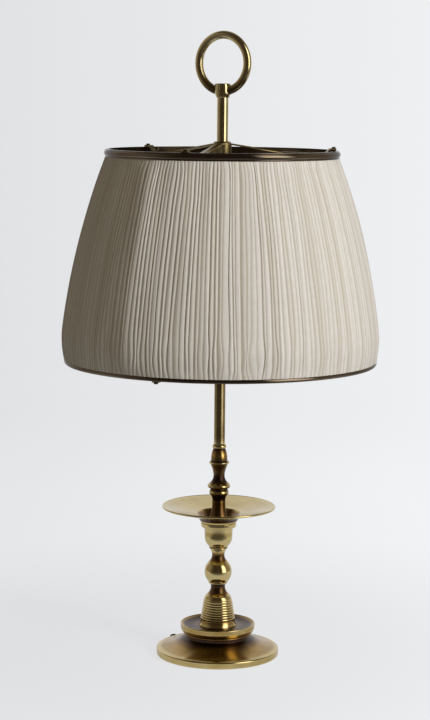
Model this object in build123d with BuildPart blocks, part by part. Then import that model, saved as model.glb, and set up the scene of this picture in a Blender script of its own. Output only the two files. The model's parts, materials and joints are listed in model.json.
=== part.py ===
from build123d import *
import os
from math import cos, pi, radians, sin

# A candlestick lamp: turned brass candlestick, drip pan, stem with a ring handle, and a pleated shade
# that slides on the stem. Millimetres, +Z up, +X to the right and +Y to the back as seen from the
# front. The origin is on the stem's axis, on the surface that the felt stands on.

# ---------------------------------------------------------------- foot
felt_thickness = 1.4
felt_radius = 66.0
brass_lift = 0.4  # the brass edge stands this far above the table
base_radius = 72.3
base_edge_height = 8.2
base_edge_round = 1.8
base_chamfer = 0.7
base_wall = 5.8  # radial width of the edge band
dome_hollow = 2.2  # how far the dome hangs below its chord
waist_radius = 38.5
waist_height = 21.5  # top of the dome above the brass's underside
waist_bead = 2.0  # how far the bead under the tray stands out
waist_bead_end = 0.6  # the bead stops this far outside the waist and below the lip
tray_lip_radius = 43.9
tray_lip_bottom = 28.2  # above the brass's underside
tray_lip_top = 37.6
tray_lip_flare = 1.6  # the lip's side leans out by this much
tray_lip_flare_height = 5.2
tray_lip_round = 0.8
tray_hollow = 0.5
tray_flat = 8.0  # level ring round the bell's foot
tray_floor_height = 34.3
tray_plate = 4.0
waist_wall = 4.0
dome_wall = 2.0  # from the dome's top down to the hollow's
ledge_width = 8.5  # the ballast bears on this ledge
ledge_depth = 5.0  # from the brass's underside up to the ledge

# ---------------------------------------------------------------- tie tube, nut and ballast
tie_radius = 5.0
tie_bore = 3.6
tie_chamfer = 0.5
thread_gap = 0.05
bore_gap = 0.2
nut_height = 4.8
nut_across_flats = 14.0
washer_radius = 10.0
washer_thickness = 1.5
nut_clear = 0.3  # air between nut and felt
recess_gap = 4.0  # room round the washer for a spanner
ballast_hub_radius = 30.0
ballast_hub_height = 8.0
ballast_hub_taper = 2.0
ballast_flange = 6.0  # the flange reaches this far inside the ledge
ballast_gap = 0.3
tie_reach = 12.0  # the tie tube stands this far into the stem tube

# ---------------------------------------------------------------- cord gland
gland_azimuth = 136.0
gland_height = 4.9
gland_bore = 2.6
gland_wall = 0.6
gland_gap = 0.05
gland_flange = 4.2
gland_flange_width = 2.0
gland_proud = 5.0  # beyond the edge band
gland_inside = 2.0  # beyond the ledge, into the hollow

# ---------------------------------------------------------------- ribbed shaft
bell_foot_radius = 22.0
bell_foot_edge = 1.2
bell_foot_height = 8.0
bell_foot_hollow = 0.45
rib_count = 8
rib_bottom_radius = 20.0
rib_top_radius = 16.2
rib_zone = 23.6
rib_bulge = 0.45
shoulder_radius = 13.2
shoulder_height = 5.9
shoulder_swell = 0.8
lower_neck_radius = 8.4
lower_neck_rise = 9.6
lower_neck_hollow = 1.2
knop_ring_radius = 11.2
knop_ring_rise = 4.4
knop_ring_hollow = 0.9
knop_ring_width = 1.2
knop_radius = 16.1
knop_height = 24.8
knop_start_radius = 11.1
knop_end_radius = 10.7
upper_neck_radius = 7.4
upper_neck_drop = 6.6
upper_neck_hollow = 0.7
upper_neck_rise = 6.8
shaft_end_hollow = 0.6
shaft_end_radius = 9.0
shaft_end_width = 2.0

# ---------------------------------------------------------------- candle cup
cup_ring_radius = 10.8
cup_ring_width = 2.6
cup_belly_radius = 16.4
cup_belly_height = 11.6
cup_belly_swell = 1.5
cup_mouth_radius = 17.3
cup_mouth_height = 11.6
cup_mouth_hollow = 0.35

# ---------------------------------------------------------------- drip pan
pan_radius = 67.4
pan_wall = 1.5
pan_bead = 1.1
pan_bead_fall = 0.3  # from the rim's top down to the dish's edge
pan_rise = 25.9  # from the boss's underside to the top of the rim
boss_radius = 20.8
boss_width = 5.4
boss_taper = 2.0
boss_edge = 0.8
boss_groove = 0.7
boss_groove_width = 1.0
boss_step = 0.5
boss_neck_radius = 26.0
boss_neck_height = 12.8
boss_neck_hollow = 0.55
well_radius = 26.6
well_lip_height = 17.2
well_floor_radius = 17.0
well_floor_height = 8.6
well_hollow = 1.0

# ---------------------------------------------------------------- stem holder
holder_foot_radius = 13.0
holder_foot_edge = 1.0
holder_waist_radius = 7.9
holder_waist_height = 22.0
holder_trumpet_hollow = 1.7
holder_rise_hollow = 1.1
holder_ring_radius = 11.6
holder_ring_height = 30.6
holder_ring_width = 5.2
holder_groove_radius = 10.4
holder_groove_step = 0.4
holder_collar_radius = 13.5
holder_collar_edge = 12.1
holder_collar_height = 38.6
holder_collar_width = 4.6
holder_neck_radius = 6.6
holder_neck_height = 54.4
holder_cove_hollow = 1.75
holder_flare_hollow = 0.7
holder_band_radius = 12.0
holder_band_height = 67.4
holder_band_width = 2.6
holder_band_edge = 10.6
acorn_radius = 10.2
acorn_tip_radius = 7.0
acorn_height = 15.2
acorn_swell = 1.0
holder_bead_radius = 8.2
holder_bead_width = 5.6
holder_top_step = 0.2  # the holder's top stands this far outside the stem

# ---------------------------------------------------------------- stem tube, ferrule and ring
stem_radius = 6.5
stem_length = 403.2
ferrule_radius = 9.2
ferrule_foot_radius = 7.5
ferrule_height = 16.0
ferrule_bevel = 4.0
ferrule_edge = 0.6
ferrule_spigot = 10.0
ring_radius = 32.1
ring_wire = 4.75
ring_seat = 7.0  # lowest point of the ring's centre line above the ferrule's underside
ring_turn = -31.0
ring_gap = 0.02
pin_radius = 0.9
pin_proud = 0.35
pin_length = 3.4

# ---------------------------------------------------------------- light cluster inside the shade
cluster_height = 140.0  # arm centre line above the stem holder
cluster_radius = 14.0
cluster_depth = 22.0
cluster_round = 4.0
cluster_gap = 0.05
cluster_screw_radius = 2.0
cluster_screw_length = 9.0
cluster_screw_head = 3.6
cluster_screw_head_height = 2.0
cluster_screw_azimuth = 270.0
lead_hole_radius = 2.4
arm_radius = 4.0
arm_bore = 2.8
arm_spread = 50.0
arm_bend = 12.0
arm_rise = 8.0
arm_socket = 4.0  # how far each arm is let into the cluster body
holder_cap_radius = 13.2
holder_cap_height = 14.0
holder_cap_round = 4.0
holder_cap_floor = 4.0
holder_cap_wall = 1.2
holder_entry = 3.0
shell_radius = 12.2
shell_height = 20.0
shell_bore = 7.4
contact_height = 3.0
bulb_cap_radius = 6.9
bulb_cap_length = 18.6
bulb_cap_wall = 0.6
bulb_cap_floor = 1.0
bulb_lift = 0.3
glass_radius = 17.5
glass_length = 74.0
glass_belly_height = 26.0
glass_seat = 4.0  # depth of the neck in the cap
glass_wall = 0.9
glass_neck_radius = 6.0
glass_tip_radius = 2.4
glass_tip_height = 1.0
glass_lower_swell = 3.4
glass_upper_swell = 2.7

# ---------------------------------------------------------------- collar and clamp screw
collar_below_ferrule = 86.0  # from the ferrule's underside down to the collar's underside
collar_radius = 11.5
collar_height = 18.0
collar_chamfer = 0.8
slide_gap = 0.08
spigot_radius = 8.0
spigot_height = 12.0
clamp_azimuth = 300.0
clamp_shank_radius = 2.5
clamp_reach = 9.0
clamp_head_radius = 6.5
clamp_head_width = 7.0
clamp_flutes = 12
clamp_flute_radius = 0.8
clamp_gap = 0.06
clamp_tip_gap = 0.3

# ---------------------------------------------------------------- shade
hub_radius = 10.7
hub_height = 17.9
hub_round = 3.0
hub_gap = 0.06
hub_seat_gap = 0.1
spigot_top_gap = 0.2
stem_clear = 0.4
arm_azimuths = (12.0, 132.0, 252.0)
strap_width = 8.0
strap_thickness = 2.0
strap_drop = 3.0  # the strap starts this far below the hub's top
strap_knee_radius = 70.0
strap_knee_drop = 12.5
strap_low_drop = 15.0
strap_bend = 3.0
strap_root = 2.0  # how far each strap is let into the hub
strap_rim_gap = 1.2  # between a strap and the inside of the top rim
strap_lean = 6.0  # the strap's last rise leans outwards by this much
rim_top_proud = 1.6  # the top rim stands out this far beyond the cloth's edge
rim_top_height = 9.0
rim_bulge = 1.6
rim_drop = 9.6  # from the hub's top down to the top rim's upper edge
cloth_top_radius = 134.9
cloth_mid_radius = 165.8
cloth_mid_drop = 97.0  # below the top rim's underside
cloth_low_radius = 183.9
cloth_low_drop = 194.0
cloth_wide_radius = 184.8
cloth_wide_drop = 204.0
cloth_end_radius = 182.2
cloth_height = 233.2
pleat_count = 176
pleat_depth = 2.4
pleat_base = 0.6
upper_bands = 6  # straight bands that stand for the side's long upper curve
lower_bands = 3  # and for its short lower one
cloth_gap = 0.3
lining_wall = 0.8
strut_wire = 1.5
strut_bend = 5.0
strut_offset = -5.0  # each strut stands this many degrees beside its arm
strut_seat = 0.05
strut_tab_width = 8.0
strut_tab_thickness = 1.2
strut_tab_length = 6.6
strut_top_drop = 1.0  # the struts end this far below the top rim's upper face
rim_end_bulge = 1.0
rim_end_height = 4.6
rim_end_proud = 0.1
screw_head_radius = 2.3
screw_head_height = 1.6
screw_head_round = 0.7
screw_shank_radius = 1.0
screw_length = 5.5
screw_gap = 0.05
screw_end_gap = 0.3
strut_screw_grip = 2.8  # how far the lower screws reach into the bottom rim
strut_screw_hole = 3.7

overrun = 1.0  # how far a cut goes past what it cuts

# ---------------------------------------------------------------- levels, from the table upwards
foot_z = brass_lift
tray_z = foot_z + tray_floor_height
nut_z = felt_thickness + nut_clear
ballast_seat_z = nut_z + nut_height + washer_thickness
rib_z = tray_z + bell_foot_height
rib_end_z = rib_z + rib_zone
shoulder_z = rib_end_z + shoulder_height
lower_neck_z = shoulder_z + lower_neck_rise
knop_z = lower_neck_z + knop_ring_rise + knop_ring_width
knop_end_z = knop_z + knop_height
upper_neck_z = knop_end_z + upper_neck_drop
cup_z = upper_neck_z + upper_neck_rise + shaft_end_width
belly_z = cup_z + cup_ring_width + cup_belly_height
pan_z = belly_z + cup_mouth_height
well_z = pan_z + well_floor_height
band_z = well_z + holder_band_height
acorn_z = band_z + holder_band_width
bead_z = acorn_z + acorn_height
stem_z = bead_z + holder_bead_width
ferrule_z = stem_z + stem_length
ring_z = ferrule_z + ring_seat + ring_radius
cluster_z = stem_z + cluster_height
collar_z = ferrule_z - collar_below_ferrule
hub_z = collar_z + collar_height + hub_seat_gap
hub_top_z = hub_z + hub_height
rim_z = hub_top_z - rim_drop - rim_top_height  # underside of the top rim
cloth_end_z = rim_z - cloth_height
rim_end_z = cloth_end_z - rim_end_height

# ---------------------------------------------------------------- sizes that follow from others
shaft_bore = tie_radius + bore_gap
tie_fit = tie_radius + thread_gap
lining_inset = pleat_depth + pleat_base + cloth_gap
strut_inset = lining_inset + lining_wall + cloth_gap + strut_wire
rim_top_radius = cloth_top_radius + rim_top_proud
rim_end_radius = cloth_end_radius + rim_end_proud
rim_inner = cloth_top_radius - strut_inset + strut_wire + strut_seat
rim_end_inner = cloth_end_radius - strut_inset + strut_wire + strut_seat
arm_screw_radius = (rim_inner + cloth_top_radius) / 2
strut_screw_radius = (rim_end_inner + rim_end_radius - rim_end_bulge) / 2

os.makedirs("parts", exist_ok=True)


def save(builder, name):
    """Label a finished sub-part and write its STEP file."""
    builder.part.label = name
    export_step(builder.part, f"parts/{name}.step")


def radial_plane(azimuth):
    """Upright plane through the lamp's axis: local x runs outwards at the azimuth, local y is up."""
    turn = radians(azimuth)
    return Plane(origin=(0, 0, 0), x_dir=(cos(turn), sin(turn), 0), z_dir=(sin(turn), -cos(turn), 0))


def outward_plane(azimuth, distance, height):
    """Plane square to the radius at the azimuth, at a distance from the axis, facing outwards."""
    turn = radians(azimuth)
    out = (cos(turn), sin(turn), 0)
    return Plane(origin=(distance * out[0], distance * out[1], height), x_dir=(-out[1], out[0], 0), z_dir=out)


def on_circle(radius, azimuths):
    """Points on a circle about the axis, one for each azimuth."""
    return [(radius * cos(radians(a)), radius * sin(radians(a))) for a in azimuths]


def cove(start, end, depth):
    """Hollow arc of a turned profile that is drawn upwards: its middle lies a depth inside its chord."""
    return SagittaArc(start, end, depth)


def swell(start, end, height):
    """Round arc of the same kind of profile: its middle stands a height outside its chord."""
    return SagittaArc(start, end, -height)


def bead(start, end, radius):
    """Round arc between two points of a profile that reaches out to a radius between them."""
    return swell(start, end, radius - (Vector(start).X + Vector(end).X) / 2)


# ================================================================ candlestick
dome_start = (base_radius - base_edge_round, foot_z + base_edge_height)
bead_low_z = foot_z + (waist_height + tray_lip_bottom) / 2
lip_low_z = foot_z + tray_lip_bottom
lip_top_z = foot_z + tray_lip_top
ledge_z = foot_z + ledge_depth
cavity_top_z = foot_z + waist_height - dome_wall
cavity_radius = base_radius - base_wall
ledge_radius = cavity_radius - ledge_width
cavity_waist = waist_radius - waist_wall

gland_start = ledge_radius - gland_inside
gland_length = base_radius + gland_proud - gland_start

# Foot: one casting with an edge band, a hollow dome, a waist with a bead, and the dished tray.
with BuildPart() as foot:
    with BuildSketch(Plane.XZ):
        with BuildLine():
            band = Polyline(
                (cavity_radius, foot_z),
                (base_radius - base_chamfer, foot_z),
                (base_radius, foot_z + base_chamfer),
                (base_radius, foot_z + base_edge_height - base_edge_round),
            )
            edge = RadiusArc(band @ 1, dome_start, -base_edge_round)
            dome = cove(edge @ 1, (waist_radius, foot_z + waist_height), dome_hollow)
            waist = Line(dome @ 1, (waist_radius, bead_low_z))
            under_lip = swell(
                waist @ 1, (waist_radius + waist_bead_end, lip_low_z - waist_bead_end), waist_bead
            )
            lip = Polyline(
                under_lip @ 1,
                (tray_lip_radius - tray_lip_flare, lip_low_z),
                (tray_lip_radius, lip_low_z + tray_lip_flare_height),
                (tray_lip_radius, lip_top_z - tray_lip_round),
            )
            lip_edge = swell(lip @ 1, (tray_lip_radius - 2 * tray_lip_round, lip_top_z - tray_lip_round),
                             tray_lip_round)
            tray = cove(lip_edge @ 1, (bell_foot_radius + tray_flat, tray_z), tray_hollow)
            Polyline(tray @ 1, (shaft_bore, tray_z), (shaft_bore, tray_z - tray_plate),
                     (cavity_waist, tray_z - tray_plate), (cavity_waist, cavity_top_z))
            swell((cavity_waist, cavity_top_z), (ledge_radius, ledge_z), dome_hollow)
            Polyline((ledge_radius, ledge_z), (cavity_radius, ledge_z), (cavity_radius, foot_z))
        make_face()
    revolve(axis=Axis.Z)
    with BuildSketch(outward_plane(gland_azimuth, gland_start, gland_height)):
        Circle(gland_bore + gland_wall + gland_gap)
    extrude(amount=base_radius + overrun - gland_start, mode=Mode.SUBTRACT)
save(foot, "foot")

# Cord gland: a bush through the edge band with a collar outside.
with BuildPart() as cord_gland:
    with BuildSketch(outward_plane(gland_azimuth, gland_start, gland_height)):
        Circle(gland_bore + gland_wall)
    extrude(amount=gland_length)
    with BuildSketch(outward_plane(gland_azimuth, base_radius, gland_height)):
        Circle(gland_flange)
    extrude(amount=gland_flange_width)
    with BuildSketch(outward_plane(gland_azimuth, gland_start, gland_height)):
        Circle(gland_bore)
    extrude(amount=gland_length, mode=Mode.SUBTRACT)
save(cord_gland, "cord_gland")

# Felt disc under the foot, flush inside the edge band.
with BuildPart() as base_felt:
    with BuildSketch():
        Circle(felt_radius)
    extrude(amount=felt_thickness)
save(base_felt, "base_felt")

# Cast ballast: a flange that bears on the ledge, a hub round the tie tube, and a slot for the lead.
ballast_radius = cavity_radius - ballast_gap
recess_radius = washer_radius + recess_gap
with BuildPart() as ballast_disc:
    with BuildSketch(Plane.XZ):
        with BuildLine():
            Polyline(
                (recess_radius, felt_thickness),
                (ballast_radius, felt_thickness),
                (ballast_radius, ledge_z),
                (ledge_radius - ballast_flange, ledge_z),
                (ballast_hub_radius, ballast_seat_z + ballast_hub_height / 2),
                (ballast_hub_radius - ballast_hub_taper, ballast_seat_z + ballast_hub_height),
                (shaft_bore, ballast_seat_z + ballast_hub_height),
                (shaft_bore, ballast_seat_z),
                (recess_radius, ballast_seat_z),
                close=True,
            )
        make_face()
    revolve(axis=Axis.Z)
    with BuildSketch(outward_plane(gland_azimuth, recess_radius, gland_height)):
        Rectangle(2 * (gland_bore + gland_wall + ballast_gap), 2 * gland_height)
    extrude(amount=ballast_radius - recess_radius + overrun, mode=Mode.SUBTRACT)
save(ballast_disc, "ballast_disc")

with BuildPart() as foot_washer:
    with BuildSketch(Plane.XY.offset(nut_z + nut_height)):
        Circle(washer_radius)
        Circle(shaft_bore, mode=Mode.SUBTRACT)
    extrude(amount=washer_thickness)
save(foot_washer, "foot_washer")

with BuildPart() as foot_nut:
    with BuildSketch(Plane.XY.offset(nut_z)):
        RegularPolygon(nut_across_flats / 2, 6, major_radius=False)
        Circle(tie_fit, mode=Mode.SUBTRACT)
    extrude(amount=nut_height)
save(foot_nut, "foot_nut")

# Threaded tube that pulls the whole candlestick together and carries the stem.
with BuildPart() as tie_tube:
    with BuildSketch(Plane.XY.offset(nut_z)):
        Circle(tie_radius)
        Circle(tie_bore, mode=Mode.SUBTRACT)
    extrude(amount=stem_z + tie_reach - nut_z)
    chamfer(tie_tube.edges().filter_by(GeomType.CIRCLE).sort_by(SortBy.RADIUS)[-2:], length=tie_chamfer)
save(tie_tube, "tie_tube")

# Ribbed shaft: flared foot, turned ribs up a cone, shoulder, neck, ball knop and upper neck.
rib_pitch = rib_zone / rib_count
rib_taper = (rib_bottom_radius - rib_top_radius) / rib_count
with BuildPart() as ribbed_shaft:
    with BuildSketch(Plane.XZ):
        with BuildLine():
            bell_foot = Polyline(
                (shaft_bore, tray_z), (bell_foot_radius, tray_z), (bell_foot_radius, tray_z + bell_foot_edge)
            )
            cove(bell_foot @ 1, (rib_bottom_radius, rib_z), bell_foot_hollow)
            for rib in range(rib_count):
                low = (rib_bottom_radius - rib * rib_taper, rib_z + rib * rib_pitch)
                swell(low, (low[0] - rib_taper, low[1] + rib_pitch), rib_bulge)
            shoulder = swell((rib_top_radius, rib_end_z), (shoulder_radius, shoulder_z), shoulder_swell)
            neck = cove(shoulder @ 1, (lower_neck_radius, lower_neck_z), lower_neck_hollow)
            flare = cove(neck @ 1, (knop_ring_radius, lower_neck_z + knop_ring_rise), knop_ring_hollow)
            ring_edge = Polyline(flare @ 1, (knop_ring_radius, knop_z), (knop_start_radius, knop_z))
            knop = bead(ring_edge @ 1, (knop_end_radius, knop_end_z), knop_radius)
            upper = cove(knop @ 1, (upper_neck_radius, upper_neck_z), upper_neck_hollow)
            top_flare = cove(upper @ 1, (shaft_end_radius, upper_neck_z + upper_neck_rise), shaft_end_hollow)
            Polyline(top_flare @ 1, (shaft_end_radius, cup_z), (shaft_bore, cup_z), (shaft_bore, tray_z))
        make_face()
    revolve(axis=Axis.Z)
save(ribbed_shaft, "ribbed_shaft")

# Candle cup: a ring, a round belly and a slightly flared mouth.
with BuildPart() as candle_cup:
    with BuildSketch(Plane.XZ):
        with BuildLine():
            cup_ring = Polyline(
                (shaft_bore, cup_z), (cup_ring_radius, cup_z), (cup_ring_radius, cup_z + cup_ring_width)
            )
            belly = swell(cup_ring @ 1, (cup_belly_radius, belly_z), cup_belly_swell)
            mouth = cove(belly @ 1, (cup_mouth_radius, pan_z), cup_mouth_hollow)
            Polyline(mouth @ 1, (shaft_bore, pan_z), (shaft_bore, cup_z))
        make_face()
    revolve(axis=Axis.Z)
save(candle_cup, "candle_cup")

# Drip pan: stepped boss, well and a thin flared dish with a beaded rim, spun as one piece.
pan_top_z = pan_z + pan_rise
well_lip_z = pan_z + well_lip_height
dish_outer = pan_radius - 2 * pan_bead
with BuildPart() as drip_pan:
    with BuildSketch(Plane.XZ):
        with BuildLine():
            boss = Polyline(
                (shaft_bore, pan_z),
                (boss_radius - boss_taper, pan_z),
                (boss_radius - boss_edge / 2, pan_z + boss_edge),
                (boss_radius, pan_z + boss_width / 2),
                (boss_radius, pan_z + boss_width),
                (boss_radius - boss_groove, pan_z + boss_width + boss_groove_width / 2),
                (boss_radius + boss_step, pan_z + boss_width + boss_groove_width),
            )
            cone = cove(boss @ 1, (boss_neck_radius, pan_z + boss_neck_height), boss_neck_hollow)
            under = Line(cone @ 1, (dish_outer, pan_top_z - pan_bead - pan_wall))
            rim_bead = bead(under @ 1, (dish_outer, pan_top_z - pan_bead_fall), pan_radius)
            dish = Line(rim_bead @ 1, (well_radius, well_lip_z))
            well = cove(dish @ 1, (well_floor_radius, well_z), well_hollow)
            Polyline(well @ 1, (shaft_bore, well_z), (shaft_bore, pan_z))
        make_face()
    revolve(axis=Axis.Z)
save(drip_pan, "drip_pan")

# Stem holder: the turned insert that stands in the well like a candle and takes the stem tube.
waist_z = well_z + holder_waist_height
ring_low_z = well_z + holder_ring_height
ring_top_z = ring_low_z + holder_ring_width
collar_low_z = well_z + holder_collar_height
collar_top_z = collar_low_z + holder_collar_width
neck_z = well_z + holder_neck_height
with BuildPart() as stem_holder:
    with BuildSketch(Plane.XZ):
        with BuildLine():
            start = Polyline(
                (shaft_bore, well_z),
                (holder_foot_radius, well_z),
                (holder_foot_radius, well_z + holder_foot_edge),
            )
            trumpet = cove(start @ 1, (holder_waist_radius, waist_z), holder_trumpet_hollow)
            rise = cove(trumpet @ 1, (holder_groove_radius, ring_low_z), holder_rise_hollow)
            ring_bead = bead(rise @ 1, (holder_groove_radius, ring_top_z), holder_ring_radius)
            groove = Polyline(ring_bead @ 1, (holder_groove_radius, collar_low_z - holder_groove_step),
                              (holder_collar_edge, collar_low_z))
            collar_bead = bead(groove @ 1, (holder_collar_edge, collar_top_z), holder_collar_radius)
            neck = cove(collar_bead @ 1, (holder_neck_radius, neck_z), holder_cove_hollow)
            flare = cove(neck @ 1, (holder_band_edge, band_z), holder_flare_hollow)
            band_bead = bead(flare @ 1, (acorn_radius, acorn_z), holder_band_radius)
            acorn = swell(band_bead @ 1, (acorn_tip_radius, bead_z), acorn_swell)
            top_bead = bead(acorn @ 1, (stem_radius + holder_top_step, stem_z), holder_bead_radius)
            Polyline(top_bead @ 1, (shaft_bore, stem_z), (shaft_bore, well_z))
        make_face()
    revolve(axis=Axis.Z)
save(stem_holder, "stem_holder")

# ================================================================ stem, ferrule and ring handle
with BuildPart() as stem_tube:
    with BuildSketch(Plane.XY.offset(stem_z)):
        Circle(stem_radius)
        Circle(tie_fit, mode=Mode.SUBTRACT)
    extrude(amount=stem_length)
    with BuildSketch(Plane.YZ.offset(-stem_radius - overrun)):
        with Locations((0, cluster_z)):
            Circle(lead_hole_radius)
    extrude(amount=2 * (stem_radius + overrun), mode=Mode.SUBTRACT)
save(stem_tube, "stem_tube")

ring_axis = (sin(radians(ring_turn)), -cos(radians(ring_turn)), 0)
ring_plane = Plane(origin=(0, 0, ring_z), x_dir=(cos(radians(ring_turn)), sin(radians(ring_turn)), 0),
                   z_dir=ring_axis)

# Ring handle: round bar bent to a closed ring.
with BuildPart() as handle_ring:
    with BuildSketch(Plane(origin=ring_plane.origin, x_dir=ring_plane.x_dir, z_dir=(0, 0, 1))):
        with Locations((ring_radius, 0)):
            Circle(ring_wire)
    revolve(axis=Axis(ring_plane.origin, ring_plane.z_dir))
save(handle_ring, "handle_ring")

# Ferrule: bevelled block with a spigot in the tube, saddled over the ring.
ferrule_top_z = ferrule_z + ferrule_height
quarter_turn = 90.0
pin_plane = outward_plane(
    ring_turn - quarter_turn, ferrule_radius + pin_proud - pin_length, ferrule_z + ring_seat
)
with BuildPart() as ring_ferrule:
    with BuildSketch(Plane.XZ):
        with BuildLine():
            Polyline(
                (0, ferrule_z - ferrule_spigot),
                (tie_radius, ferrule_z - ferrule_spigot),
                (tie_radius, ferrule_z),
                (ferrule_foot_radius, ferrule_z),
                (ferrule_radius, ferrule_z + ferrule_bevel),
                (ferrule_radius, ferrule_top_z - ferrule_edge),
                (ferrule_radius - ferrule_edge, ferrule_top_z),
                (0, ferrule_top_z),
                close=True,
            )
        make_face()
    revolve(axis=Axis.Z)
    with BuildSketch(Plane(origin=ring_plane.origin, x_dir=ring_plane.x_dir, z_dir=(0, 0, 1))):
        with Locations((ring_radius, 0)):
            Circle(ring_wire + ring_gap)
    revolve(axis=Axis(ring_plane.origin, ring_plane.z_dir), mode=Mode.SUBTRACT)
    with BuildSketch(pin_plane):
        Circle(pin_radius)
    extrude(amount=pin_length, mode=Mode.SUBTRACT)
save(ring_ferrule, "ring_ferrule")

# Pin that keeps the ring in its saddle, seen as a dot on the ferrule's face.
with BuildPart() as ferrule_pin:
    with BuildSketch(pin_plane):
        Circle(pin_radius)
    extrude(amount=pin_length)
save(ferrule_pin, "ferrule_pin")

# ================================================================ light cluster
with BuildPart() as cluster_body:
    with BuildSketch(Plane.XY.offset(cluster_z - cluster_depth / 2)):
        Circle(cluster_radius)
    extrude(amount=cluster_depth)
    fillet(cluster_body.edges().filter_by(GeomType.CIRCLE), radius=cluster_round)
    with BuildSketch(Plane.XY.offset(cluster_z - cluster_depth / 2)):
        Circle(stem_radius + cluster_gap)
    extrude(amount=cluster_depth, mode=Mode.SUBTRACT)
    with BuildSketch(Plane.YZ.offset(-cluster_radius)):
        with Locations((0, cluster_z)):
            Circle(arm_radius + cluster_gap)
    extrude(amount=arm_socket, mode=Mode.SUBTRACT)
    with BuildSketch(Plane.YZ.offset(cluster_radius - arm_socket)):
        with Locations((0, cluster_z)):
            Circle(arm_radius + cluster_gap)
    extrude(amount=arm_socket, mode=Mode.SUBTRACT)
    with BuildSketch(Plane.YZ.offset(-cluster_radius)):
        with Locations((0, cluster_z)):
            Circle(lead_hole_radius)
    extrude(amount=2 * cluster_radius, mode=Mode.SUBTRACT)
    with BuildSketch(outward_plane(cluster_screw_azimuth, stem_radius, cluster_z)):
        Circle(cluster_screw_radius + cluster_gap)
    extrude(amount=cluster_radius, mode=Mode.SUBTRACT)
save(cluster_body, "cluster_body")

cluster_screw_tip = stem_radius + cluster_gap
cluster_screw_head_at = cluster_screw_tip + cluster_screw_length
with BuildPart() as cluster_screw:
    with BuildSketch(outward_plane(cluster_screw_azimuth, cluster_screw_tip, cluster_z)):
        Circle(cluster_screw_radius)
    extrude(amount=cluster_screw_length)
    with BuildSketch(outward_plane(cluster_screw_azimuth, cluster_screw_head_at, cluster_z)):
        Circle(cluster_screw_head)
    extrude(amount=cluster_screw_head_height)
save(cluster_screw, "cluster_screw")

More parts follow.
